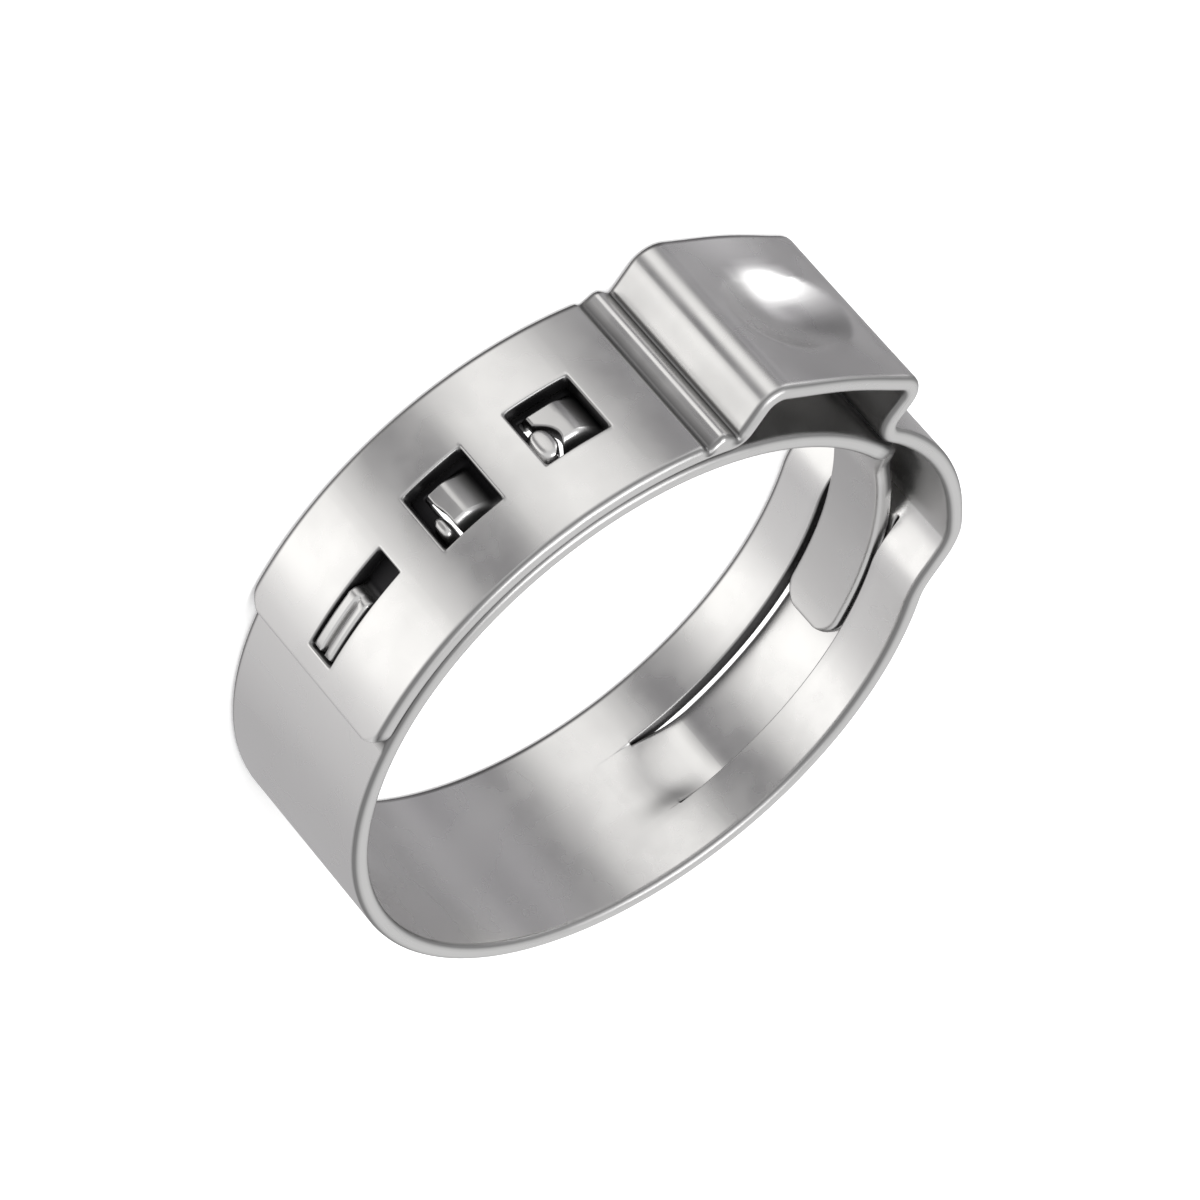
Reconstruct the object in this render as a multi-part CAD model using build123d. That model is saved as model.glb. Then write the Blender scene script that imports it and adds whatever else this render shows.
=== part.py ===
from build123d import *
from math import atan2, cos, degrees, hypot, radians, sin, sqrt
import os

# A stepless ear clamp for hoses, formed from one stainless strip. The strip is
# rolled into a ring and lies over itself: a narrow tongue at its inner end runs in
# a channel pressed into the ring, and windows near its outer end catch hooks drawn
# out of the layer below. Pincers squeeze the raised ear to close the ring.
#
# The ring's axis is Z, with the origin at the middle of its bore, and the ear is on
# +Y. An angle is in degrees from the middle of the ear, positive on the side of the
# windows. Lengths are in millimetres.

# The strip and the ring
strip_width = 7.0
strip_thickness = 0.6
bore_radius = 10.5
layer_gap = 0.05
edge_easing = 0.15

# The outer layer, from its plain end to the step of the rails beside the channel
outer_end_angle = 97.0
outer_end_corner = 0.7
rear_rise = 0.5
rear_rise_angle = -38.0
rear_end_angle = -57.0
rail_step_angle = -66.5
rail_step_bend = 1.0

# The ear: how far its feet and corners reach from its middle, and how far the corners rise
front_foot_reach = 3.98
rear_foot_reach = 3.34
front_corner_reach = 3.75
front_corner_rise = 1.25
rear_corner_reach = 3.55
rear_corner_rise = 1.65
front_corner_bend = 1.0
rear_corner_bend = 0.9
front_base_bend = 0.25
rear_base_bend = 0.35

# The bead between the ear and the outer band: a ridge beside a groove
ridge_from_foot = 0.6
ridge_radius = 0.34
ridge_height = 0.2
groove_from_ridge = 0.53
groove_radius = 0.3
groove_depth = 0.12

# The dimple pressed into the ear's bridge
dimple_length = 4.8
dimple_width = 3.9
dimple_depth = 0.45
dimple_wall = 0.5

# The windows for the load hooks, and the slot for the guide hook
window_angles = (41.0, 60.6)
window_length = 2.35
window_width = 2.35
window_corner = 0.15
slot_angle = 83.3
slot_length = 3.9
slot_width = 1.1

# The load hooks, drawn out of the layer below, each with a nose beyond its sheared face
hook_side_clearance = 0.22
hook_length = 1.35
hook_crown = 0.55
hook_wall = 0.32
hook_rounding = 0.3
nose_clearance = 0.06
nose_length = 0.56
nose_width = 1.35
nose_offset = 0.25
nose_rounding = 0.15
shear_gap = 0.12

# The guide hook, a narrow rib with a crease along its crest
guide_length = 2.5
guide_side_clearance = 0.1
guide_end_clearance = 0.08
guide_ramp = 0.45
guide_rounding = 0.2
crease_width = 0.16
crease_depth = 0.3

# The tongue at the strip's inner end
tongue_width = 2.6
tongue_tip_angle = -89.5
tongue_tip_corner = 0.85
tongue_root_angle = -20.0
tongue_neck_angle = -44.0

# The channel that the tongue runs in
channel_clearance = 0.15
channel_end_angle = -124.0
channel_blind_angle = -134.0
channel_bend = 1.2
channel_end_corner = 0.8

# Worked out from the sizes above
single_radius = bore_radius + strip_thickness
under_radius = single_radius + layer_gap
double_radius = under_radius + strip_thickness
rear_radius = double_radius + rear_rise
channel_width = tongue_width + 2 * channel_clearance
front_base_angle = degrees(front_foot_reach / double_radius)
rear_base_angle = -degrees(rear_foot_reach / double_radius)
ridge_angle = front_base_angle + degrees(ridge_from_foot / double_radius)
groove_angle = ridge_angle + degrees(groove_from_ridge / double_radius)
front_corner = (-front_corner_reach, double_radius + front_corner_rise)
rear_corner = (rear_corner_reach, double_radius + rear_corner_rise)
joint_angle = channel_blind_angle - 16.0
tongue_joint_angle = tongue_neck_angle - 4.0
crest_floor = single_radius + 0.4 * (double_radius - single_radius)

# How far cutters reach past what they cut, as lengths, an angle and two radii
spare = 2.0
spare_angle = 9.0
inside_radius = bore_radius / 2
outside_radius = rear_radius * 2
tiny = 1e-4


def at(radius, angle):
    """A point in the plane of the ring."""
    return (-radius * sin(radians(angle)), radius * cos(radians(angle)))


def turn(length, radius):
    """The angle that a length takes up along a circle."""
    return degrees(length / radius)


def arc(radius, start, end):
    """An arc about the ring's axis, from one angle to another."""
    return ThreePointArc(at(radius, start), at(radius, (start + end) / 2), at(radius, end))


def sector(inner, outer, start, end):
    """A piece of a flat ring between two radii and two angles."""
    outline = arc(inner, start, end) + Line(at(inner, end), at(outer, end))
    outline += arc(outer, end, start) + Line(at(outer, start), at(inner, start))
    return make_face(outline)


def slab(shape, height):
    """A flat shape given height, half above and half below the plane of the ring."""
    return Pos(0, 0, -height / 2) * extrude(shape, height)


def round_corner(shape, point, radius):
    """Round the corner of a flat shape that lies nearest to a point."""
    corner = shape.vertices().sort_by_distance((point[0], point[1], 0))[0]
    return fillet([corner], radius)


def radial_frame(radius, angle):
    """A frame on the ring: X follows rising angles, Y points down, Z points outward."""
    along = at(1.0, angle + 90)
    outward = at(1.0, angle)
    return Plane(origin=(*at(radius, angle), 0), x_dir=(*along, 0), z_dir=(*outward, 0))


def flat_frame(radius, angle):
    """A frame in the plane of the ring: X follows falling angles, Y points outward."""
    along = at(1.0, angle - 90)
    return Plane(origin=(*at(radius, angle), 0), x_dir=(*along, 0), z_dir=(0, 0, 1))


def outer_face(after_rear):
    """The closed outline of all that the outer layer's outer face encloses."""
    front_base = at(double_radius, front_base_angle)
    rear_base = at(double_radius, rear_base_angle)
    past_end = outer_end_angle + spare_angle
    past_joint = joint_angle - spare_angle
    rear_end = at(rear_radius, rear_end_angle)
    outline = arc(double_radius, past_end, front_base_angle)
    outline += Line(front_base, front_corner)
    outline += Line(front_corner, rear_corner)
    outline += Line(rear_corner, rear_base)
    outline += ThreePointArc(rear_base, at(rear_radius, rear_rise_angle), rear_end)
    outline += after_rear
    outline += Line(at(single_radius, past_joint), (0, 0))
    outline += Line((0, 0), at(double_radius, past_end))
    shape = make_face(outline)
    shape = round_corner(shape, front_corner, front_corner_bend)
    shape = round_corner(shape, rear_corner, rear_corner_bend)
    shape = round_corner(shape, front_base, front_base_bend)
    shape = round_corner(shape, rear_base, rear_base_bend)
    return shape


def layer(shape):
    """The strip's thickness inside an outline of its outer face."""
    return shape - offset(shape, -strip_thickness, kind=Kind.ARC)


def ramp_point(radius):
    """The point at a radius on the ramp that the rails step down."""
    top = at(rear_radius, rear_end_angle)
    foot = at(single_radius, rail_step_angle)
    run = (foot[0] - top[0], foot[1] - top[1])
    length = hypot(*run)
    to_nearest = -(top[0] * run[0] + top[1] * run[1]) / length
    nearest_radius = sqrt(rear_radius**2 - to_nearest**2)
    share = (to_nearest - sqrt(radius**2 - nearest_radius**2)) / length
    return (top[0] + share * run[0], top[1] + share * run[1])


def side_profile():
    """The outer layer's profile at the strip's edges, with the step of the rails."""
    rear_end = at(rear_radius, rear_end_angle)
    step_end = at(single_radius, rail_step_angle)
    rail = Line(rear_end, step_end)
    rail += arc(single_radius, rail_step_angle, joint_angle - spare_angle)
    shape = outer_face(rail)
    shape = round_corner(shape, rear_end, rail_step_bend)
    shape = round_corner(shape, step_end, rail_step_bend)
    return layer(shape)


def channel_profile():
    """The outer layer's profile along the middle, where it is the channel's floor."""
    rear_end = at(rear_radius, rear_end_angle)
    floor_start = ramp_point(double_radius)
    floor_end = at(double_radius, channel_end_angle)
    blind_end = at(single_radius, channel_blind_angle)
    floor_start_angle = -degrees(atan2(*floor_start))
    floor = Line(rear_end, floor_start)
    floor += arc(double_radius, floor_start_angle, channel_end_angle)
    floor += Line(floor_end, blind_end)
    floor += arc(single_radius, channel_blind_angle, joint_angle - spare_angle)
    shape = outer_face(floor)
    shape = round_corner(shape, rear_end, rail_step_bend)
    for corner in (floor_start, floor_end, blind_end):
        shape = round_corner(shape, corner, channel_bend)
    return layer(shape)


def outer_zone(start, end, height):
    """A block that holds only the outer layer between two angles."""
    floor = single_radius + layer_gap / 2
    return slab(sector(floor, outside_radius, start, end), height)


def end_cutter(radius, angle, width, corner, side):
    """A cutter that rounds the two corners of a strip's end; side is its free side."""
    waste = Pos(side * (spare - corner) / 2) * Rectangle(spare + corner, width + spare)
    kept = Pos(-side * width / 2) * RectangleRounded(width, width, corner)
    return extrude(radial_frame(radius, angle) * (waste - kept), spare, both=True)


def window(angle, length, width):
    """A cutter for an opening with rounded corners through the outer layer."""
    half = turn(length / 2, double_radius)
    block = outer_zone(angle - half, angle + half, width)
    corners = block.edges().filter_by(GeomType.LINE).filter_by(Axis.Z, reverse=True)
    return fillet(corners, window_corner)


def bead():
    """The ridge between the ear and the outer band, and the cutter of its groove."""
    ridge_centre = at(double_radius + ridge_height - ridge_radius, ridge_angle)
    groove_centre = at(double_radius + groove_radius - groove_depth, groove_angle)
    ridge = slab(Pos(*ridge_centre) * Circle(ridge_radius), strip_width - 2 * edge_easing)
    groove = slab(Pos(*groove_centre) * Circle(groove_radius), strip_width + spare)
    return ridge, groove


def barrel(frame, long_radius, cross_radius, floor_height):
    """A barrel lying along a frame's X, with its lowest line at a height."""
    side = Pos(0, floor_height + long_radius) * Circle(long_radius)
    axis_height = floor_height + cross_radius
    below_axis = Pos(0, axis_height - long_radius) * Rectangle(4 * long_radius, 2 * long_radius)
    return frame * revolve(side & below_axis, Axis((0, axis_height, 0), (1, 0, 0)), 360)


def dimple():
    """The dimple's hollow in the bridge, and the bulge that it makes underneath."""
    run = rear_corner[0] - front_corner[0]
    rise = rear_corner[1] - front_corner[1]
    middle = ((front_corner[0] + rear_corner[0]) / 2, (front_corner[1] + rear_corner[1]) / 2)
    bridge = Plane(origin=(*middle, 0), x_dir=(run, rise, 0), z_dir=(0, 0, 1))
    long_radius = (dimple_length**2 / 4 + dimple_depth**2) / (2 * dimple_depth)
    cross_radius = (dimple_width**2 / 4 + dimple_depth**2) / (2 * dimple_depth)
    hollow = barrel(bridge, long_radius, cross_radius, -dimple_depth)
    bulge = barrel(
        bridge,
        long_radius + dimple_wall,
        cross_radius + dimple_wall,
        -dimple_depth - dimple_wall,
    )
    under = bridge * Pos(0, -strip_thickness) * Box(
        dimple_length * 2, strip_thickness, strip_width
    )
    return hollow, bulge & under


def neck_cutters():
    """The two cutters that narrow the strip from its full width to the tongue."""
    middle = (tongue_root_angle + tongue_neck_angle) / 2
    root = single_radius * sin(radians(tongue_root_angle - middle))
    neck = single_radius * sin(radians(tongue_neck_angle - middle))
    corners = [
        (root, strip_width / 2),
        (root, strip_width / 2 + spare),
        (neck - spare, strip_width / 2 + spare),
        (neck - spare, tongue_width / 2),
        (neck, tongue_width / 2),
    ]
    outline = make_face(Polyline(*corners, close=True))
    wedge = extrude(radial_frame(bore_radius, middle) * outline, spare, both=True)
    ceiling = single_radius + layer_gap / 2
    start = tongue_joint_angle - spare_angle
    end = tongue_root_angle + spare_angle
    inner_zone = sector(inside_radius, ceiling, start, end)
    cutter = wedge & slab(inner_zone, 2 * (strip_width + spare))
    return cutter, mirror(cutter, Plane.XY)


def pressed_form(frame, outline, width, rounding):
    """A form drawn out of the strip, with its upper edges rounded."""
    block = slab(frame * outline, width)
    crest = [
        edge
        for edge in block.edges()
        if abs(abs(edge.center().Z) - width / 2) < tiny
        and hypot(edge.center().X, edge.center().Y) > crest_floor
    ]
    return fillet(crest, rounding)


def load_hook(window_angle):
    """A load hook, the nose beyond its sheared face, and the cutter of its hollow."""
    rise = double_radius - single_radius
    root = strip_thickness / 2
    deep = strip_thickness + spare
    window_edge = window_angle + turn(window_length / 2, double_radius)
    face_angle = window_edge - turn(nose_clearance + nose_length + shear_gap, double_radius)
    frame = flat_frame(single_radius, face_angle)
    width = window_width - 2 * hook_side_clearance
    ramp = [(0, -root), (0, rise), (hook_crown, rise), (hook_length, 0), (hook_length, -root)]
    hook = pressed_form(frame, make_face(Polyline(*ramp, close=True)), width, hook_rounding)
    bar = Pos(-shear_gap - nose_length / 2, (rise - root) / 2) * Rectangle(nose_length, rise + root)
    nose = Pos(0, 0, nose_offset) * pressed_form(frame, bar, nose_width, nose_rounding)
    hollow_outline = [
        (-shear_gap, -deep),
        (-shear_gap, rise - hook_wall),
        (hook_crown, rise - hook_wall),
        (hook_length - hook_wall, -hook_wall / 2),
        (hook_length - hook_wall, -deep),
    ]
    hollow = slab(frame * make_face(Polyline(*hollow_outline, close=True)), width - 2 * hook_wall)
    return hook, nose, hollow


def guide_hook():
    """The guide hook's rib, and the cutter of the crease along its crest."""
    rise = double_radius - single_radius
    root = strip_thickness / 2
    half = guide_length / 2
    slot_edge = slot_angle + turn(slot_length / 2, double_radius)
    middle_angle = slot_edge - turn(guide_end_clearance + half, double_radius)
    frame = flat_frame(single_radius, middle_angle)
    width = slot_width - 2 * guide_side_clearance
    outline = [
        (-half, -root),
        (-half, rise),
        (half - guide_ramp, rise),
        (half, rise / 2),
        (half, -root),
    ]
    rib = pressed_form(frame, make_face(Polyline(*outline, close=True)), width, guide_rounding)
    crease = Pos(-2 * guide_ramp, rise) * Rectangle(guide_length, 2 * crease_depth)
    return rib, slab(frame * crease, crease_width)


def spiral():
    """The whole strip at full width, with its long edges eased."""
    outer = sector(inside_radius, outside_radius, joint_angle, outer_end_angle)
    inner = sector(bore_radius, single_radius, tongue_joint_angle, joint_angle + 360)
    prism = slab((side_profile() & outer) + inner, strip_width)
    rims = prism.faces().sort_by(Axis.Z)
    edges = rims[0].edges() + rims[-1].edges()
    long_edges = [edge for edge in edges if abs(edge.length - strip_thickness) > tiny]
    return chamfer(long_edges, edge_easing)


def with_openings(strip):
    """Cut the two windows and the slot, and round the outer end's corners."""
    for angle in window_angles:
        strip -= window(angle, window_length, window_width)
    strip -= window(slot_angle, slot_length, slot_width)
    corners = end_cutter(double_radius, outer_end_angle, strip_width, outer_end_corner, 1)
    start = outer_end_angle - spare_angle
    end = outer_end_angle + spare_angle
    return strip - (corners & outer_zone(start, end, strip_width + spare))


def with_ear_forms(strip):
    """Add the bead beside the ear, and press the dimple into its bridge."""
    ridge, groove = bead()
    hollow, bulge = dimple()
    return strip + ridge - groove + bulge - hollow


def with_channel(strip):
    """Press the channel's floor outward between its two slits."""
    start = channel_blind_angle - spare_angle
    end = rear_end_angle + spare_angle
    zone = sector(inside_radius, outside_radius, start, end)
    beyond = end_cutter(
        single_radius, channel_blind_angle, channel_width, channel_end_corner, -1
    )
    plug = slab(zone, channel_width) - beyond
    floor = slab(channel_profile() & zone, channel_width) & plug
    return strip - plug + floor


def with_tongue(strip):
    """Narrow the strip under the ear and run the tongue on into the channel."""
    for cutter in neck_cutters():
        strip -= cutter
    flat = sector(bore_radius, single_radius, tongue_tip_angle, tongue_joint_angle)
    tongue = slab(flat, tongue_width)
    tongue -= end_cutter(bore_radius, tongue_tip_angle, tongue_width, tongue_tip_corner, -1)
    return tongue + strip


def with_hooks(strip):
    """Draw the two load hooks and the guide hook out through their openings."""
    for angle in window_angles:
        hook, nose, hollow = load_hook(angle)
        strip = strip + hook + nose - hollow
    rib, crease = guide_hook()
    return strip + rib - crease


clamp_band = spiral()
for step in (with_openings, with_ear_forms, with_channel, with_tongue, with_hooks):
    clamp_band = step(clamp_band)

os.makedirs("parts", exist_ok=True)
export_step(clamp_band, "parts/clamp_band.step")
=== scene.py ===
# %% [markdown]
# # An ear hose clamp in polished steel
#
# A stepless ear clamp is one strip of stainless steel, rolled up and lying over
# itself for half a turn. This lesson dresses the CAD part as a studio picture: it
# loads the part, sets the camera, makes the strip as one worked-out surface, gives
# it a steel finish and lights it.

# %% Load the CAD part
import bpy
import numpy as np
from mathutils import Matrix, Vector


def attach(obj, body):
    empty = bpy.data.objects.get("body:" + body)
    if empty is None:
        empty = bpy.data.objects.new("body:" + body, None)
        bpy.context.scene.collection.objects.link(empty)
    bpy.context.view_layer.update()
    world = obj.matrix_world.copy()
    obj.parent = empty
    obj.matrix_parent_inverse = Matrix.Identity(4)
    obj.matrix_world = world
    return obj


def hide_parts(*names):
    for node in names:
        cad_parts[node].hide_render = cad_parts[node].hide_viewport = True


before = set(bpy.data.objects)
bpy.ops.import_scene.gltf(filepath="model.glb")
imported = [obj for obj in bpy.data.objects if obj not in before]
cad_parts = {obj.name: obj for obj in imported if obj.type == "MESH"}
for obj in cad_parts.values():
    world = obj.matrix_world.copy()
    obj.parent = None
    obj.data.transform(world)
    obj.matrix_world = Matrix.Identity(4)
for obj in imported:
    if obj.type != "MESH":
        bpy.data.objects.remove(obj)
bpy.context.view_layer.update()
MM = 0.001

# %% [markdown]
# ## The camera
#
# The photograph was taken from far away with a long lens, a little above the
# clamp. Twelve points of the clamp whose places are known gave the camera: where it
# stands, which way is right and up in its picture, and how narrow its view is. Three
# unit vectors and a place are all that a camera needs, so they are set directly.

# %% Set the camera
CAMERA_PLACE = Vector((-180.320, 112.045, 116.996)) * MM
CAMERA_RIGHT = Vector((0.66615, 0.48054, 0.57038))
CAMERA_BACK = Vector((-0.74526, 0.45850, 0.48411))
CAMERA_LENS = 230.31


def make_camera(place, right, back, lens):
    """A camera at a place, whose picture's right side and line of sight are given."""
    data = bpy.data.cameras.new("camera")
    data.lens = lens
    data.sensor_width = 36.0
    data.clip_start, data.clip_end = 0.01, 20.0
    camera = bpy.data.objects.new("camera", data)
    bpy.context.scene.collection.objects.link(camera)
    back = back.normalized()
    right = (right - back * right.dot(back)).normalized()
    up = back.cross(right)
    turned = Matrix((right, up, back)).transposed().to_4x4()
    camera.matrix_world = Matrix.Translation(place) @ turned
    return camera


bpy.context.scene.camera = make_camera(CAMERA_PLACE, CAMERA_RIGHT, CAMERA_BACK, CAMERA_LENS)
print("camera at", [round(value, 4) for value in CAMERA_PLACE])

# %% [markdown]
# ## The strip's line
#
# Seen along the ring's axis, the strip is one long line: the tongue's tip, the layer
# on the hose, the single layer, the rear stretch, the ear and the outer band. A
# place along it is told by its turn: the angle from the middle of the ear, counted on
# past a full circle, from -89.5 at the tongue's tip to 457 at the outer end. On the
# ring the line is a radius for each turn, and over the ear it is straight runs with
# bends. Both go into one fine polyline, which is then read off at any turn.

# %% Sizes in millimetres and degrees
STRIP_WIDTH = 7.0
THICKNESS = 0.6
SINGLE_MID = 10.8
DOUBLE_MID = 11.45
REAR_MID = 11.95
TIP_TURN, END_TURN = -89.5, 457.0
REAR_BASE, FRONT_BASE = 343.7, 379.4
RAIL_STEP, RAIL_EASE = (293.5, 303.0), 3.0
REAR_BOW = 0.000566
EAR_RUN_IN = 3.4
EAR_REAR_TOP, EAR_FRONT_TOP = (3.55, 13.4), (-3.75, 13.0)
EAR_BENDS = [0.65, 0.62, 0.72, 0.55]


def ring(radius, turn):
    """Points on the ring: radius times (minus sine, cosine) of the turn."""
    angle = np.radians(turn)
    return np.stack([-radius * np.sin(angle), radius * np.cos(angle)], axis=-1)


def eased_ramp(x, start, end, ease):
    """A ramp from 0 to 1 with rounded corners: a plain ramp averaged over a short window."""

    def area(t):
        inside = np.clip(t - start, 0, end - start)
        return inside**2 / (2 * (end - start)) + np.maximum(t - end, 0)

    return (area(x + ease) - area(x - ease)) / (2 * ease)


def rear_radius(turn):
    """The rear stretch's mid radius: a parabola of the turn through REAR_MID at 303 and 322."""
    return REAR_MID - REAR_BOW * (turn - 303) * (turn - 322)


def rail_radius(turn):
    """The mid radius along the strip's edges: single, then by the rails' step to the rear's."""
    step = eased_ramp(turn, *RAIL_STEP, RAIL_EASE)
    return SINGLE_MID + (rear_radius(turn) - SINGLE_MID) * step


def bent_line(corners, bends, step=0.02):
    """Straight runs between corners, each inner corner replaced by an arc of its bend radius.
    The arc touches both runs at bend * tan(half the turn) from the corner."""
    points = [corners[0][None]]
    for before, corner, after, bend in zip(corners, corners[1:], corners[2:], bends):
        into = (corner - before) / np.linalg.norm(corner - before)
        out = (after - corner) / np.linalg.norm(after - corner)
        swing = np.arctan2(into[0] * out[1] - into[1] * out[0], into @ out)
        reach = bend * np.tan(abs(swing) / 2)
        normal = np.sign(swing) * np.array([-into[1], into[0]])
        share = np.linspace(0, abs(swing), max(4, int(bend * abs(swing) / step)))[:, None]
        arc = corner + into * (bend * np.sin(share) - reach) + normal * bend * (1 - np.cos(share))
        start = points[-1][-1]
        count = max(3, int(np.linalg.norm(arc[0] - start) / step))
        points.append(start + (arc[0] - start) * np.linspace(0, 1, count)[1:-1, None])
        points.append(arc)
    start, end = points[-1][-1], corners[-1]
    count = max(3, int(np.linalg.norm(end - start) / step))
    points.append(start + (end - start) * np.linspace(0, 1, count)[1:, None])
    return np.concatenate(points)


def inward(corners, depth):
    """Corners of a line moved to its left by a depth: each run shifts and meets the next anew."""
    along = np.diff(corners, axis=0)
    along /= np.linalg.norm(along, axis=1)[:, None]
    side = np.stack([-along[:, 1], along[:, 0]], axis=1) * depth
    moved = [corners[0] + side[0]]
    for k in range(1, len(along)):
        a, b = corners[k] + side[k - 1], corners[k] + side[k]
        s = np.linalg.solve(np.stack([along[k - 1], -along[k]], axis=1), b - a)
        moved.append(a + along[k - 1] * s[0])
    moved.append(corners[-1] + side[-1])
    return np.array(moved)


def travelled(line):
    """The length along a polyline from its start to each of its points."""
    return np.concatenate([[0], np.cumsum(np.linalg.norm(np.diff(line, axis=0), axis=1))])


def softened(line, reach):
    """A polyline averaged over a round window that reaches some points to both sides.
    The points within that reach of the line's ends stay where they are."""
    window = np.hanning(2 * reach + 1)
    window /= window.sum()
    padded = np.concatenate([np.repeat(line[:1], reach, 0), line, np.repeat(line[-1:], reach, 0)])
    soft = np.stack([np.convolve(padded[:, k], window, "valid") for k in (0, 1)], axis=1)
    soft[: reach + 1], soft[-reach - 1:] = line[: reach + 1], line[-reach - 1:]
    return soft


# The ear's outside as corners, from its rear run-in to its front run-in
EAR_FIRST, EAR_LAST = REAR_BASE - EAR_RUN_IN, FRONT_BASE + EAR_RUN_IN
DOUBLE_OUTSIDE = DOUBLE_MID + THICKNESS / 2
ear_outside = np.array([
    ring(rear_radius(EAR_FIRST) + THICKNESS / 2, EAR_FIRST),
    ring(DOUBLE_OUTSIDE, REAR_BASE),
    EAR_REAR_TOP,
    EAR_FRONT_TOP,
    ring(DOUBLE_OUTSIDE, FRONT_BASE),
    ring(DOUBLE_OUTSIDE, EAR_LAST),
])
ear_line = bent_line(inward(ear_outside, THICKNESS / 2), EAR_BENDS)
run = travelled(ear_line)
EAR_SCALE = (EAR_LAST - EAR_FIRST) / run[-1]
turns_ear = EAR_FIRST + run * EAR_SCALE

# The whole line: the ring before the ear, the ear, and the ring after it
LINE_STEP, LINE_POINTS, LINE_SOFTENING = 0.1, 6000, 7
turns_before = np.arange(TIP_TURN, EAR_FIRST, LINE_STEP)
turns_after = np.append(np.arange(EAR_LAST + LINE_STEP, END_TURN, LINE_STEP), END_TURN)
before = ring(rail_radius(turns_before), turns_before)
after = ring(np.full_like(turns_after, DOUBLE_MID), turns_after)
line = np.concatenate([before, ear_line, after])
travel = travelled(line)
even = np.linspace(0, travel[-1], LINE_POINTS)
spaced = np.stack([np.interp(even, travel, line[:, k]) for k in (0, 1)], axis=1)
smooth = softened(spaced, LINE_SOFTENING)
EVEN_TURNS = np.interp(even, travel, np.concatenate([turns_before, turns_ear, turns_after]))
heading = np.gradient(smooth, even, axis=0)
heading /= np.linalg.norm(heading, axis=1)[:, None]
outward = np.stack([heading[:, 1], -heading[:, 0]], axis=1)
print("the strip is", round(travel[-1], 1), "mm long, of which the ear is", round(run[-1], 2))

# %% [markdown]
# ## Where the grid needs lines
#
# The strip's surface is a grid: columns at turns along it and rows across it. A grid
# line has to lie on each edge of each opening, and a few more beside it to round the
# edge. So each feature adds the lines that it needs, and plain stretches get wide
# steps. Lines that almost meet are thinned out.

# %% Openings, and the grid's columns and rows
HALF = STRIP_WIDTH / 2
PER_DEGREE = np.pi / 180 * DOUBLE_MID
ON_OUTSIDE = PER_DEGREE * 1.026
WINDOW_HALF = 2.35 / 2
WINDOWS = (401.0, 420.6)
SLOT, SLOT_HALF, SLOT_SIDE = 443.3, 3.9 / 2, 1.1 / 2
CHANNEL_SIDE = 1.45
SLIT = 0.05
SLITS = (231.0, 299.5)
HOOK_SIDE = 0.955
SHEAR_GAP = 0.75
# Each load hook: the turn of its cut face, how far the cut bows round its nose, and the nose's
# middle along and across, with its half sizes in millimetres
HOOKS = (
    (41.95, 2.3, 44.7, 0.42, 0.52, 0.74),
    (62.75, 0.5, 64.5, 0.50, 0.28, 0.50),
)


def openings():
    """Each opening as its first and last turn and its two sides across the strip."""
    half, slot_half = WINDOW_HALF / ON_OUTSIDE, SLOT_HALF / ON_OUTSIDE
    found = [(turn - half, turn + half, -WINDOW_HALF, WINDOW_HALF) for turn in WINDOWS]
    found.append((SLOT - slot_half, SLOT + slot_half, -SLOT_SIDE, SLOT_SIDE))
    found += [(*SLITS, side - SLIT, side) for side in (CHANNEL_SIDE, SLIT - CHANNEL_SIDE)]
    found += [(hook[0], hook[0] + SHEAR_GAP, -HOOK_SIDE, HOOK_SIDE) for hook in HOOKS]
    return np.array(found)


def grid_lines(exact, extra, gap):
    """The exact lines, and those of the extra ones that keep a gap to them and to each other."""
    exact = np.unique(np.round(exact, 4))
    extra = np.unique(extra)
    extra = extra[np.abs(extra[:, None] - exact).min(axis=1) > gap]
    extra = extra[np.concatenate([[True], np.diff(extra) > gap])]
    return np.sort(np.concatenate([exact, extra]))


OPENINGS = openings()
# Distances in millimetres of the extra lines: beside an opening along the strip, from the
# strip's two ends, beside an opening across the strip, and from the strip's long edges
EDGE_STEPS = np.array([-0.16, -0.05, 0.022, 0.07, 0.11, 0.2]) / PER_DEGREE
END_STEPS = np.array([0.03, 0.06, 0.1, 0.15, 0.22, 0.32, 0.46, 0.62, 0.72, 0.86]) / PER_DEGREE
SIDE_STEPS = np.array([-0.05, 0.022, 0.07])
ROUND_STEPS = np.array([0.017, 0.064, 0.136, 0.22, 0.26])
# Stretches of columns in degrees, as first turn, last turn and step: the whole strip, both
# hooks, the guide hook, the channel's blind end, the rails' step, the ear and the bead
STRETCHES = [
    (TIP_TURN, END_TURN, 2.0),
    *[(hook[0] - 8, hook[0] + 5, 0.45) for hook in HOOKS],
    (78.5, 95, 0.8),
    (222, 244, 0.8),
    (290, 306, 0.5),
    (REAR_BASE - 3.5, FRONT_BASE + 3.5, 0.46),
    (FRONT_BASE, FRONT_BASE + 9, 0.2),
]
# Bands of rows in millimetres from the middle, the same way, and single rows for the noses
BANDS = [(0, 1.5, 0.15), (1.5, HALF - 0.3, 0.32)]
NOSE_ROWS = [0.045, 0.09, 0.33, 0.41, 0.82, 0.88]
COLUMN_GAP, ROW_GAP = 0.09, 0.014

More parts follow.
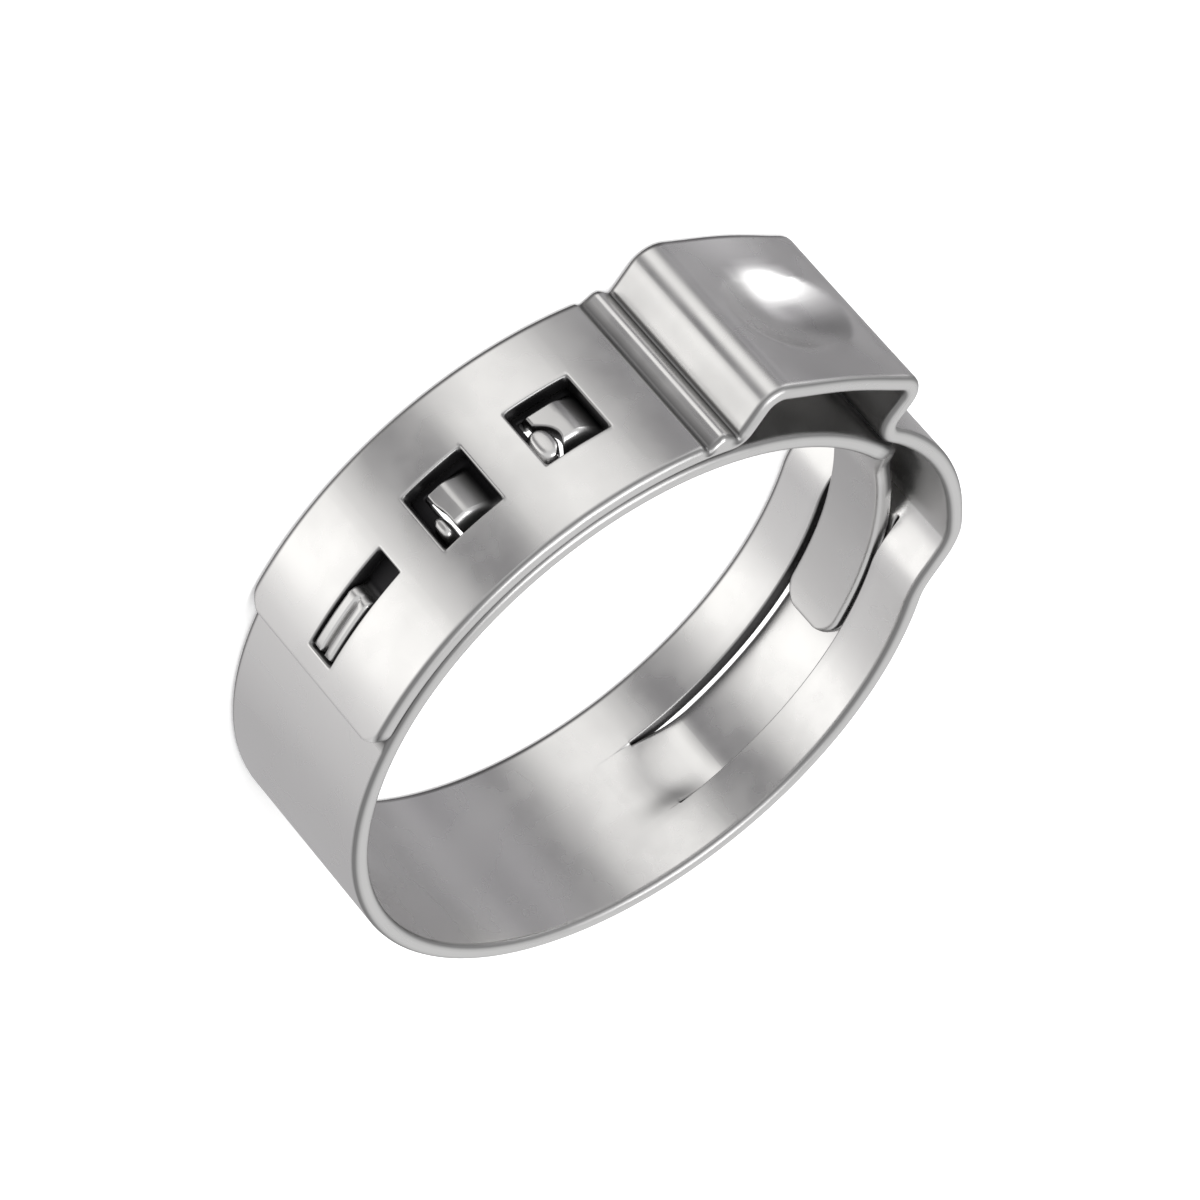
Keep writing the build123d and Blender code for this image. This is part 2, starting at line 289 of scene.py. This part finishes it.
columns = grid_lines(
    np.append(OPENINGS[:, :2], [TIP_TURN, END_TURN]),
    np.concatenate([
        (OPENINGS[:, :1] - EDGE_STEPS).ravel(),
        (OPENINGS[:, 1:2] + EDGE_STEPS).ravel(),
        TIP_TURN + END_STEPS,
        END_TURN - END_STEPS,
        *[np.arange(*stretch) for stretch in STRETCHES],
    ]),
    COLUMN_GAP,
)
side_edges = np.unique(np.abs(OPENINGS[:, 2:]))
half_rows = grid_lines(
    np.append(side_edges, [0, HALF]),
    np.concatenate([
        (side_edges[:, None] + SIDE_STEPS).ravel(),
        HALF - ROUND_STEPS,
        *[np.arange(*band) for band in BANDS],
        NOSE_ROWS,
    ]),
    ROW_GAP,
)
rows = np.concatenate([-half_rows[:0:-1], half_rows])
print(len(columns), "columns and", len(rows), "rows")

# %% [markdown]
# ## Forms pressed into the strip
#
# Each form is a height above the plain strip, as a function of turn and of the place
# across. Adding heights is how a press tool sees it too: the channel is a floor
# pushed outward between two slits, and the dimple is a shallow dish. A load hook is a
# ramp up to a cut, with a rounded nose beyond it. The cut isn't straight: the grid's
# columns are shifted there, so that it bows round the nose. The bead is a ridge
# between two grooves, in the outer face alone.

# %% Heights of the pressed forms
EAR_MIDDLE = np.interp(run[-1] / 2, run, turns_ear)
# Millimetres in a degree on the outer face of the layer on the hose
PER_INNER_DEGREE = np.pi / 180 * 11.1
BLIND_END, BLIND_END_BOW, FLOOR_TOP, FLOOR_EASE = 226.0, 4.5, 239.5, 3.2
HOOK_HEIGHT, HOOK_SHOULDER, HOOK_CROWN = 0.62, 0.3, 0.10
HOOK_CLIMB = (-1.4, -0.5, 0.12)
BOW_HALF, BOW_REACH = 0.66, 4.2
GUIDE_TURN, GUIDE_HEIGHT, GUIDE_HALF, GUIDE_LONG = 86.6, 0.64, 0.6, 1.36
CREASE_DEPTH, CREASE_SIDE, CREASE_HALF = 0.4, 0.03, 0.12
DIMPLE_DEPTH, DIMPLE_LONG, DIMPLE_WIDE = 0.5, 2.45, 2.0
RIM_RISE, RIM_FROM, RIM_LONG = 0.16, 1.6, 3.4
# The bead's ridge and its two grooves: place in degrees, height and half width in millimetres
BEAD = ((22.3, 0.2, 0.36), (24.9, -0.14, 0.26), (20.0, -0.08, 0.2))


def bump(x, half):
    """A smooth hump: the squared cosine, 1 in the middle and 0 from half outwards."""
    return np.cos(np.clip(x / half, -1, 1) * np.pi / 2) ** 2


def flat_bump(x, half, shoulder):
    """A flat top with rounded shoulders: 1 inside, falling to 0 over the shoulder's width."""
    fall = np.clip((np.abs(x) - half + shoulder) / shoulder, 0, 1)
    return (1 - fall**2) ** 2 * (1 - fall) ** 0.5


def channel_height(turn, across):
    """The channel's floor above the rails. Its blind end is a dish: it starts later at the
    sides. Where floor and rails meet, a root of the squared gap rounds the corner."""
    start = BLIND_END + BLIND_END_BOW * np.clip(across / CHANNEL_SIDE, -1, 1) ** 2
    rise = eased_ramp(turn, start, FLOOR_TOP, FLOOR_EASE)
    above = SINGLE_MID + (DOUBLE_MID - SINGLE_MID) * rise - rail_radius(turn)
    above = (above + np.sqrt(above**2 + 0.02**2)) / 2 - 0.005 * np.exp(-np.abs(turn - 260) / 40)
    inside = np.abs(across) <= CHANNEL_SIDE - SLIT / 2
    inside &= (turn > BLIND_END - 3) & (turn < RAIL_STEP[1])
    return np.where(inside, np.maximum(above, 0), 0.0)


def bow(turn, across, hook):
    """The shift that bows a hook's cut round its nose: a parabola across, fading along it."""
    face, depth, _, middle, _, _ = hook
    bowed = depth * np.clip(((across - middle) / BOW_HALF) ** 2, 0, 1.15)
    near = np.clip(1 - np.abs(turn - face - SHEAR_GAP / 2) / BOW_REACH, 0, 1)
    return bowed * near * (3 - 2 * near) * near


def hook_height(turn, across, hook, beyond_cut):
    """A load hook: a ramp up to its cut, rounded at its sides, and the nose beyond the cut."""
    face, _, nose_turn, nose_across, nose_long, nose_wide = hook
    climb = eased_ramp((turn - face) * PER_INNER_DEGREE, *HOOK_CLIMB)
    side = flat_bump(across, HOOK_SIDE + 0.02, HOOK_SHOULDER)
    crown = 1 - HOOK_CROWN * np.clip(across / HOOK_SIDE, -1, 1) ** 2
    x = (turn - nose_turn) * PER_INNER_DEGREE / nose_long
    y = (across - nose_across) / nose_wide
    nose = 1 - np.clip(x**2 + np.abs(y) ** 3, 0, 1) ** 2
    return HOOK_HEIGHT * np.where(beyond_cut, nose, climb * side * crown)


def guide_height(turn, across):
    """The guide hook: a narrow rib with rounded ends and a crease along its crest."""
    along = (turn - GUIDE_TURN) * PER_INNER_DEGREE
    rib = GUIDE_HEIGHT * flat_bump(across, GUIDE_HALF, 0.2) * flat_bump(along, GUIDE_LONG, 0.3)
    crease = CREASE_DEPTH * bump(across - CREASE_SIDE, CREASE_HALF)
    crease *= eased_ramp(along, -1.0, -0.6, 0.15)
    return np.maximum(rib - crease * (rib > 0.1), 0)


def ear_height(turn, across):
    """The dimple in the ear's bridge, an oval dish, and the rise of the bridge's two rims."""
    along = (EAR_MIDDLE - turn) / EAR_SCALE
    oval = (along / DIMPLE_LONG) ** 2 + (across / DIMPLE_WIDE) ** 2
    dimple = DIMPLE_DEPTH * (1 - np.clip(oval, 0, 1)) ** 1.25
    toward_rim = np.clip((np.abs(across) - RIM_FROM) / (HALF - RIM_FROM), 0, 1)
    return RIM_RISE * bump(along, RIM_LONG) * toward_rim**1.5 - dimple


def bead_height(turn):
    """The bead in the outer face: a ridge between a deeper and a very shallow groove."""
    return sum(
        height * bump((turn - 360 - place) * PER_DEGREE, half) for place, height, half in BEAD
    )


# %% [markdown]
# ## One closed surface
#
# The grid is read twice, once half a thickness outward and once inward. Near any edge
# both faces draw together along a quarter circle, which rounds it. Cells inside an
# opening are left out, and wherever a kept cell has no neighbour a wall joins the two
# faces. All of it is whole arrays: a keep mask, its changes, and index arithmetic.
#
# Each point also gets a painted shade from 0 to 1, which the finish reads later: shade
# painted into the steel's colour, and more roughness, on sheared edges, in recesses and
# between layers, where little light reaches. It follows from the place on the strip alone.

# %% Work the strip out on its grid
EDGE_BAND = 0.3
TONGUE_HALF, TIP_ROUND, END_ROUND = 1.3, 0.85, 0.7
NECK = (-44.0, -20.0, 2.0)
LONG_EDGE_ROUND, END_EDGE_ROUND, CUT_EDGE_ROUND = 0.22, 0.1, 0.07
# How deep the painted shade is on cut edges, on the long rims, between layers, in the bead's
# grooves, beside the slits and in the blind end's corner. The ear's front leg and the tongue
# get a light painted shade too, which dims their reflections
CUT_SHADE, RIM_SHADE, BETWEEN_SHADE, GROOVE_SHADE = 0.92, 0.85, 0.85, 0.8
SLIT_SHADE, CORNER_SHADE, LEG_SHADE, TONGUE_SHADE = 0.7, 0.5, 0.2, 0.17
# Where the bead's two grooves get painted shade: place in degrees, half width in millimetres
SHADED_GROOVES = ((24.8, 0.38), (20.3, 0.36))
# The stretch that another layer covers, where shade is painted between the layers, and the part
# of it that lies open under the ear, where that painted shade is lighter
COVERED = (-52.0, END_TURN - 360)
UNDER_EAR = (-17.0, 19.0)


def rounding(distance, radius):
    """How far an edge's rounding lowers a face: nothing beyond the radius, all at the edge."""
    inside = np.clip(radius - distance, 0, radius)
    return radius - np.sqrt(radius**2 - inside**2)


def half_width(turn):
    """Half the strip's width: the tongue, the neck that widens from it, and both rounded ends."""
    half = TONGUE_HALF + (HALF - TONGUE_HALF) * eased_ramp(turn, *NECK)
    from_tip = np.radians(turn - TIP_TURN) * SINGLE_MID
    from_end = np.radians(END_TURN - turn) * DOUBLE_MID
    return half - rounding(from_tip, TIP_ROUND) - rounding(from_end, END_ROUND)


def corner_rounded(turn, across, opening, radius=0.15):
    """Grid points on an opening's edge near its corners, moved onto the corner's arc."""
    first, last, low, high = opening
    middle_turn, middle_across = (first + last) / 2, (low + high) / 2
    x = (turn - middle_turn) * PER_DEGREE
    y = across - middle_across
    wide, tall = (last - first) / 2 * PER_DEGREE, (high - low) / 2
    over_x, over_y = np.abs(x) - (wide - radius), np.abs(y) - (tall - radius)
    on_edge = (np.maximum(over_x, over_y) < radius + 1e-4) & (over_x > 0) & (over_y > 0)
    on_edge &= np.hypot(over_x, over_y) > radius
    pull = radius / np.maximum(np.hypot(over_x, over_y), 1e-9)
    x = np.where(on_edge, np.sign(x) * (wide - radius + over_x * pull), x)
    y = np.where(on_edge, np.sign(y) * (tall - radius + over_y * pull), y)
    return middle_turn + x / PER_DEGREE, middle_across + y


def distance_to(turn, across, opening):
    """The distance in millimetres from points outside an opening to its nearest edge."""
    first, last, low, high = opening
    x = np.maximum(np.maximum(first - turn, turn - last), 0) * PER_DEGREE
    y = np.maximum(np.maximum(low - across, across - high), 0)
    return np.hypot(x, y)


def strip_faces(turn, place):
    """The outer and the inner face over a grid of turns and places across the plain strip."""
    grid_turn = turn
    windows_and_slot = OPENINGS[:3]
    for opening in windows_and_slot:
        turn, place = corner_rounded(turn, place, opening)
    turn = turn + sum(bow(turn, place, hook) for hook in HOOKS)
    reach = half_width(turn)
    inner_part = np.abs(place) * (reach - EDGE_BAND) / (HALF - EDGE_BAND)
    outer_part = reach - (HALF - np.abs(place))
    across = np.sign(place) * np.where(np.abs(place) > HALF - EDGE_BAND, outer_part, inner_part)
    base = np.stack([np.interp(turn, EVEN_TURNS, smooth[:, k]) for k in (0, 1)], axis=-1)
    normal = np.stack([np.interp(turn, EVEN_TURNS, outward[:, k]) for k in (0, 1)], axis=-1)
    normal /= np.linalg.norm(normal, axis=-1)[..., None]
    floor = channel_height(turn, across)
    # The channel's floor faces straight out wherever it stands 0.3 mm above the rails
    radial = ring(1.0, turn)
    share = np.clip(floor / 0.3, 0, 1)[..., None]
    normal = normal * (1 - share) + radial * share
    normal /= np.linalg.norm(normal, axis=-1)[..., None]
    pressed = ear_height(turn, across) + guide_height(turn, across)
    for hook in HOOKS:
        beyond_cut = grid_turn > hook[0] + SHEAR_GAP / 2
        pressed += hook_height(turn, across, hook, beyond_cut)
    middle = base + radial * floor[..., None] + normal * pressed[..., None]
    edge = np.minimum.reduce([distance_to(grid_turn, place, opening) for opening in OPENINGS])
    ends = np.minimum(turn - TIP_TURN, END_TURN - turn) * PER_DEGREE
    lowered = np.maximum.reduce([
        rounding(HALF - np.abs(place), LONG_EDGE_ROUND),
        rounding(ends, END_EDGE_ROUND),
        rounding(edge, CUT_EDGE_ROUND),
    ])
    half = (THICKNESS / 2 - lowered)[..., None]
    bead = bead_height(turn)[..., None]
    z = across[..., None]
    outer = np.concatenate([middle + normal * (half + bead), z], axis=-1)
    inner = np.concatenate([middle - normal * half, z], axis=-1)
    return outer, inner, across, pressed, edge


def under_openings(turn, across, pressed):
    """The painted shade of the layer on the hose where an opening shows it, and the openings
    alone. The hooks rise out of that painted shade, and it is lighter on the side that lies
    towards +Z."""
    window = sum(flat_bump((turn + 360 - place) * PER_DEGREE, 1.5, 0.3) for place in WINDOWS)
    window = window * flat_bump(across, 1.45, 0.3)
    slot = flat_bump((turn + 360 - SLOT) * PER_DEGREE, 2.3, 0.3) * flat_bump(across, 0.8, 0.25)
    slot *= 1 - 0.4 * np.clip((turn - 79.5) / 3, 0, 1)
    low = 1 - np.clip((pressed - 0.1) / 0.38, 0, 1)
    side = 1 - 0.45 * np.clip((across - 0.7) / 0.3, 0, 1)
    return np.clip(window * side + slot, 0, 1) * (0.2 + 0.8 * low), window + slot


def channel_shade(turn, across):
    """The painted shade of the channel's inner face beside its slits, and of the dark corner of
    its blind end.
    """
    beside = (CHANNEL_SIDE + 0.03 - np.abs(across)) / 0.4
    slits = np.clip(1 - beside, 0, 1) ** 2 * (beside > 0) * flat_bump(turn - 250, 24, 16)
    corner = np.exp(-(((turn - 230) / 5) ** 2) - ((across - 1.1) / 0.4) ** 2)
    return np.maximum(SLIT_SHADE * slits, CORNER_SHADE * corner)


def painted_shades(turn, across, pressed, edge):
    """The painted shade of each point of the outer and the inner face, from 0 to 1: shade painted
    where little light reaches. Cut edges, grooves, the floor under the openings and the faces
    between layers count."""
    from_rim = HALF - np.abs(across)
    under, opened = under_openings(turn, across, pressed)
    # The first hook's nose fills one corner of its window, so light reaches that corner
    lit = 0.75 * bump(turn % 360 - 46.9, 3.4) * np.clip((across + 0.15) / 0.3, 0, 1)
    under = under * (1 - lit)
    # Painted shade on cut edges, and a thin painted dark line along each long rim
    cut = CUT_SHADE * (1 - np.clip(edge / 0.075, 0, 1)) * (1 - lit)
    rim_line = RIM_SHADE * bump(from_rim - 0.1, 0.14)
    # Painted shade on faces that another layer covers, up to a little short of their rims
    off_rim = np.clip((from_rim - 0.05) / 0.12, 0, 1)
    covered = (turn > COVERED[0]) & (turn < COVERED[1]) & (opened <= 0.02)
    open_under_ear = (turn > UNDER_EAR[0]) & (turn < UNDER_EAR[1])
    between = BETWEEN_SHADE * covered * off_rim * np.where(open_under_ear, 0.35, 1)
    # Painted shade on the inside of the rear stretch, then of the ear, then of the outer band
    depth = np.select([turn <= 303, turn < 343, turn < 380], [0, 0.3, 0.25], BETWEEN_SHADE)
    # Painted shade in the bead's grooves
    grooves = GROOVE_SHADE * sum(
        bump((turn - 360 - place) * PER_DEGREE, half) for place, half in SHADED_GROOVES
    )
    # Painted shade that dims the ear's front leg and the tongue
    leg = LEG_SHADE * bump(turn - 376.8, 4.4)
    tongue = TONGUE_SHADE * np.clip((-46 - turn) / 4, 0, 1)
    outside = [cut, rim_line, under, between, grooves, leg]
    inside = [cut, rim_line, depth * off_rim, channel_shade(turn, across), tongue]
    return np.maximum.reduce(outside), np.maximum.reduce(inside)


def closed_sheet(outer, inner, keep):
    """Quads of both faces over the kept cells, and walls wherever a kept cell ends."""
    n, m = outer.shape[:2]
    index = np.arange(n * m).reshape(n, m)
    i, j = np.nonzero(keep)
    tops = np.stack([index[i, j], index[i, j + 1], index[i + 1, j + 1], index[i + 1, j]], axis=1)
    bottoms = (tops + n * m)[:, ::-1]
    padded = np.pad(keep, 1).astype(int)
    walls = []
    change = padded[1:-1, 1:] - padded[1:-1, :-1]
    for sign in (1, -1):
        i, j = np.nonzero(change == sign)
        a, b = index[i, j], index[i + 1, j]
        quad = np.stack([a, b, b + n * m, a + n * m], axis=1)
        walls.append(quad[:, ::sign])
    change = padded[1:, 1:-1] - padded[:-1, 1:-1]
    for sign in (1, -1):
        i, j = np.nonzero(change == sign)
        a, b = index[i, j], index[i, j + 1]
        quad = np.stack([b, a, a + n * m, b + n * m], axis=1)
        walls.append(quad[:, ::sign])
    quads = np.concatenate([tops, bottoms, *walls])
    points = np.concatenate([outer.reshape(-1, 3), inner.reshape(-1, 3)])
    used, flat = np.unique(quads, return_inverse=True)
    return points[used], flat.reshape(-1, 4), used


turn_grid, place_grid = np.meshgrid(columns, rows, indexing="ij")
cell_turn = (columns[1:] + columns[:-1])[:, None] / 2
cell_place = (rows[1:] + rows[:-1])[None] / 2
keep = np.ones((len(columns) - 1, len(rows) - 1), bool)
for first, last, low, high in OPENINGS:
    keep &= ~((cell_turn > first) & (cell_turn < last) & (cell_place > low) & (cell_place < high))
outer, inner, across, pressed, edge = strip_faces(turn_grid, place_grid)
# The painted shade of each point of both faces
shades = painted_shades(turn_grid, across, pressed, edge)
points, quads, used = closed_sheet(outer, inner, keep)
print(len(points), "points and", len(quads), "quads")

# %% [markdown]
# ## Into a mesh
#
# The arrays go into the mesh in one call each. The UV map holds the place along and
# across the strip in millimetres, so the rolling lines can follow the strip round the
# ring and over the ear. The painted shades go in as a point attribute of their own.

# %% Make the clamp's mesh
def make_mesh(name, points, quads):
    """A mesh object from arrays of points in millimetres and of quads, shaded smooth."""
    mesh = bpy.data.meshes.new(name)
    mesh.vertices.add(len(points))
    mesh.vertices.foreach_set("co", (points * MM).astype(np.float32).ravel())
    mesh.loops.add(quads.size)
    mesh.loops.foreach_set("vertex_index", quads.astype(np.int32).ravel())
    mesh.polygons.add(len(quads))
    mesh.polygons.foreach_set("loop_start", np.arange(0, quads.size, 4, dtype=np.int32))
    mesh.polygons.foreach_set("use_smooth", np.ones(len(quads), bool))
    mesh.update(calc_edges=True)
    mesh.validate()
    piece = bpy.data.objects.new(name, mesh)
    bpy.context.scene.collection.objects.link(piece)
    return piece


def add_shades(piece, per_point):
    """A point attribute of painted shade, with one number for each point."""
    layer = piece.data.attributes.new("painted_shade", "FLOAT", "POINT")
    layer.data.foreach_set("value", per_point.astype(np.float32))


def add_uv(piece, per_point):
    """A UV map from one pair of numbers for each point."""
    layer = piece.data.uv_layers.new(name="strip")
    corners = np.empty(len(piece.data.loops), np.int32)
    piece.data.loops.foreach_get("vertex_index", corners)
    layer.data.foreach_set("uv", per_point[corners].astype(np.float32).ravel())


clamp = make_mesh("clamp_strip", points, quads)
along = np.interp(turn_grid, EVEN_TURNS, even)
uv = np.stack([along, across], axis=-1).reshape(-1, 2)
add_uv(clamp, np.concatenate([uv, uv])[used])
add_shades(clamp, np.concatenate([shade.ravel() for shade in shades])[used])
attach(clamp, "root")
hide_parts("clamp_band")
print("triangles:", 2 * len(quads))

# %% [markdown]
# ## Polished steel
#
# The strip is rolled stainless steel, bright and a little soft: its reflections are
# clear but not sharp. The roughness varies slowly in cloudy patches, fine rolling
# lines run along the strip, and the sheet is never quite flat, so a faint swell goes
# into the bump as well. The attribute of painted shades darkens the metal's colour, a
# painted shade, and makes it rougher in recesses and on sheared edges.

# %% The steel finish
STEEL_COLOR, STEEL_ROUGHNESS = (0.74, 0.735, 0.73), 0.27
# The near-black colour of painted shade, and the roughness that the painted shade adds
PAINTED_SHADE_COLOR, PAINTED_SHADE_ROUGHER = (0.035, 0.034, 0.036), 0.2


def add_node(tree, kind, **values):
    """A node with its input sockets set by name."""
    node = tree.nodes.new(kind)
    for name, value in values.items():
        node.inputs[name.replace("_", " ")].default_value = value
    return node


def add_range(tree, source, **limits):
    """A smooth map of a source's range to another one, and its output."""
    node = add_node(tree, "ShaderNodeMapRange", **limits)
    node.interpolation_type = "SMOOTHSTEP"
    tree.links.new(source, node.inputs["Value"])
    return node.outputs["Result"]


def add_mix(tree, factor, a, b):
    """A mix of two colours by a factor. A colour is three numbers or another node's output."""
    node = tree.nodes.new("ShaderNodeMix")
    node.data_type = "RGBA"
    tree.links.new(factor, node.inputs["Factor"])
    for name, color in (("A", a), ("B", b)):
        if isinstance(color, tuple):
            node.inputs[name].default_value = (*color, 1)
        else:
            tree.links.new(color, node.inputs[name])
    return node.outputs["Result"]


def add_noise(tree, where, scale, detail, roughness):
    """A noise texture read at an output's places, and its grey output."""
    node = add_node(tree, "ShaderNodeTexNoise", Scale=scale, Detail=detail, Roughness=roughness)
    tree.links.new(where, node.inputs["Vector"])
    return node.outputs["Fac"]


def add_bump(tree, height, strength, distance):
    """A bump by a height, as a node."""
    node = add_node(tree, "ShaderNodeBump", Strength=strength, Distance=distance)
    tree.links.new(height, node.inputs["Height"])
    return node


def steel(name, color, roughness):
    """Polished sheet steel: metal, with cloudy roughness, rolling lines and a faint swell.
    The attribute of painted shades mixes its colour towards dark, a painted shade, and adds to
    its roughness."""
    material = bpy.data.materials.new(name)
    material.use_nodes = True
    tree = material.node_tree
    links = tree.links
    shader = tree.nodes["Principled BSDF"]
    shader.inputs["Metallic"].default_value = 1.0

    # The attribute of painted shades mixes the colour towards near black: painted shade
    attribute = tree.nodes.new("ShaderNodeAttribute")
    attribute.attribute_name = "painted_shade"
    painted_shade = attribute.outputs["Fac"]
    links.new(add_mix(tree, painted_shade, color, PAINTED_SHADE_COLOR), shader.inputs["Base Color"])

    place = tree.nodes.new("ShaderNodeTexCoord")
    clouds = add_noise(tree, place.outputs["Object"], 420.0, 3.0, 0.55)
    gloss = add_range(
        tree, clouds,
        From_Min=0.3, From_Max=0.7, To_Min=roughness - 0.05, To_Max=roughness + 0.06,
    )
    rougher_in_shade = tree.nodes.new("ShaderNodeMath")
    rougher_in_shade.operation = "MULTIPLY_ADD"
    rougher_in_shade.inputs[1].default_value = PAINTED_SHADE_ROUGHER
    links.new(painted_shade, rougher_in_shade.inputs[0])
    links.new(gloss, rougher_in_shade.inputs[2])
    links.new(rougher_in_shade.outputs[0], shader.inputs["Roughness"])

    stretch = add_node(tree, "ShaderNodeMapping", Scale=(0.8, 22.0, 1.0))
    links.new(place.outputs["UV"], stretch.inputs["Vector"])
    lines = add_noise(tree, stretch.outputs["Vector"], 1.0, 4.0, 0.6)
    swell = add_noise(tree, place.outputs["Object"], 260.0, 1.0, 0.4)
    line_bump = add_bump(tree, lines, 0.07, 0.00001)
    swell_bump = add_bump(tree, swell, 0.22, 0.00008)
    links.new(line_bump.outputs["Normal"], swell_bump.inputs["Normal"])
    links.new(swell_bump.outputs["Normal"], shader.inputs["Normal"])
    return material


clamp.data.materials.append(steel("polished_steel", STEEL_COLOR, STEEL_ROUGHNESS))
print("finish:", clamp.data.materials[0].name)

# %% [markdown]
# ## Floor and light
#
# The photograph has a pure white ground. A pale floor under the clamp stands for it.
# It glows a little and is lit softly, so the clamp leaves only a faint shade on it.
#
# The strip stands upright and the camera looks down on it, so the strip mirrors what
# lies below the horizon. There the floor would give it one flat tone, so the floor is
# hidden from mirrors. They see the world instead: panels of light and dark round the
# compass, which fade into a plain pale sky. One bright patch stands for the lamp that
# the ear's dimple mirrors.

# %% Floor, world and lights
# Panels as (azimuth, brightness), the azimuth in degrees from +Y towards -X: dim behind the
# ear, one panel ahead of it, a gap, and a wide panel on the side of the slot
PANELS = [
    (-180, 0.56), (-120, 0.50), (-60, 0.34), (-30, 0.11), (-2, 0.27), (22, 1.12), (40, 1.25),
    (60, 0.27), (74, 0.27), (94, 1.4), (114, 1.5), (130, 0.80), (155, 0.72), (178, 0.56),
]
SKY = (0.85, 0.85, 0.85)
# The sines of elevation between which the panels fade into the sky
FADE = (-0.3, -0.02)
# The bright patch: its direction, the cosines at its rim and its core, and how much it adds
PATCH, PATCH_RIM, PATCH_CORE, PATCH_GAIN = (0.48, 0.855, -0.20), 0.87, 0.985, 3.6
FLOOR_TONE, FLOOR_GLOW = 0.93, 0.25


def make_floor(height, half_size):
    """A large square floor at a height in metres, which mirrors don't see."""
    corners = np.array([[-1, -1, 0], [1, -1, 0], [1, 1, 0], [-1, 1, 0]], float) * half_size
    corners[:, 2] = height
    mesh = bpy.data.meshes.new("floor")
    mesh.from_pydata(corners.tolist(), [], [[0, 1, 2, 3]])
    floor = bpy.data.objects.new("floor", mesh)
    bpy.context.scene.collection.objects.link(floor)
    floor.visible_glossy = False
    material = bpy.data.materials.new("pale_floor")
    material.use_nodes = True
    shader = material.node_tree.nodes["Principled BSDF"]
    shader.inputs["Base Color"].default_value = (FLOOR_TONE, FLOOR_TONE, FLOOR_TONE, 1)
    shader.inputs["Roughness"].default_value = 0.9
    shader.inputs["Specular IOR Level"].default_value = 0.1
    shader.inputs["Emission Color"].default_value = (1, 1, 1, 1)
    shader.inputs["Emission Strength"].default_value = FLOOR_GLOW
    mesh.materials.append(material)
    return floor


def area_light(name, place, target, size, power):
    """A soft rectangular light at a place in millimetres that faces a target."""
    data = bpy.data.lights.new(name, "AREA")
    data.shape = "RECTANGLE"
    data.size, data.size_y = size[0] * MM, size[1] * MM
    data.energy = power
    light = bpy.data.objects.new(name, data)
    bpy.context.scene.collection.objects.link(light)
    place, target = Vector(place) * MM, Vector(target) * MM
    facing = (target - place).to_track_quat("-Z", "Y").to_matrix().to_4x4()
    light.matrix_world = Matrix.Translation(place) @ facing
    return light


def panel_color(level):
    """A panel's colour for its brightness: dim ones a little blue, bright ones a little warm."""
    warmth = min(level, 1.2) / 1.2
    return (level, level * (0.98 + 0.012 * warmth), level * (1.02 - 0.045 * warmth), 1)


def compass_ramp(tree, axes, panels):
    """A ramp of panels by azimuth: the angle of (-X, Y), mapped from a full turn to 0 to 1."""
    flip = tree.nodes.new("ShaderNodeMath")
    flip.operation = "MULTIPLY"
    flip.inputs[1].default_value = -1.0
    tree.links.new(axes.outputs["X"], flip.inputs[0])
    compass = tree.nodes.new("ShaderNodeMath")
    compass.operation = "ARCTAN2"
    tree.links.new(flip.outputs[0], compass.inputs[0])
    tree.links.new(axes.outputs["Y"], compass.inputs[1])
    turned = add_node(tree, "ShaderNodeMapRange", From_Min=-np.pi, From_Max=np.pi)
    tree.links.new(compass.outputs[0], turned.inputs["Value"])
    ramp = tree.nodes.new("ShaderNodeValToRGB")
    ramp.color_ramp.interpolation = "EASE"
    elements = ramp.color_ramp.elements
    while len(elements) < len(panels):
        elements.new(0.5)
    for element, (azimuth, level) in zip(elements, panels):
        element.position = azimuth / 360 + 0.5
    for element, (azimuth, level) in zip(elements, panels):
        element.color = panel_color(level)
    tree.links.new(turned.outputs["Result"], ramp.inputs["Fac"])
    return ramp.outputs["Color"]


def room_world(name):
    """A room of light by direction: panels round the compass below the horizon, fading into
    a plain pale sky, and one bright patch where a direction's dot product is high."""
    world = bpy.data.worlds.new(name)
    world.use_nodes = True
    tree = world.node_tree
    background = tree.nodes["Background"]
    place = tree.nodes.new("ShaderNodeTexCoord")
    axes = tree.nodes.new("ShaderNodeSeparateXYZ")
    tree.links.new(place.outputs["Generated"], axes.inputs[0])
    height = add_range(tree, axes.outputs["Z"], From_Min=FADE[0], From_Max=FADE[1])
    color = add_mix(tree, height, compass_ramp(tree, axes, PANELS), SKY)
    tree.links.new(color, background.inputs["Color"])
    toward = tree.nodes.new("ShaderNodeVectorMath")
    toward.operation = "DOT_PRODUCT"
    toward.inputs[1].default_value = PATCH
    tree.links.new(place.outputs["Generated"], toward.inputs[0])
    boost = add_range(
        tree, toward.outputs["Value"],
        From_Min=PATCH_RIM, From_Max=PATCH_CORE, To_Min=1.0, To_Max=PATCH_GAIN,
    )
    tree.links.new(boost, background.inputs["Strength"])
    bpy.context.scene.world = world
    return world


make_floor(-HALF * MM, 3.0)
room_world("pale_room")
area_light("top_light", (-40, 120, 320), (0, 0, 0), (260, 260), 0.9)
bpy.context.scene.view_settings.view_transform = "Standard"
print("panels in the room:", len(PANELS))
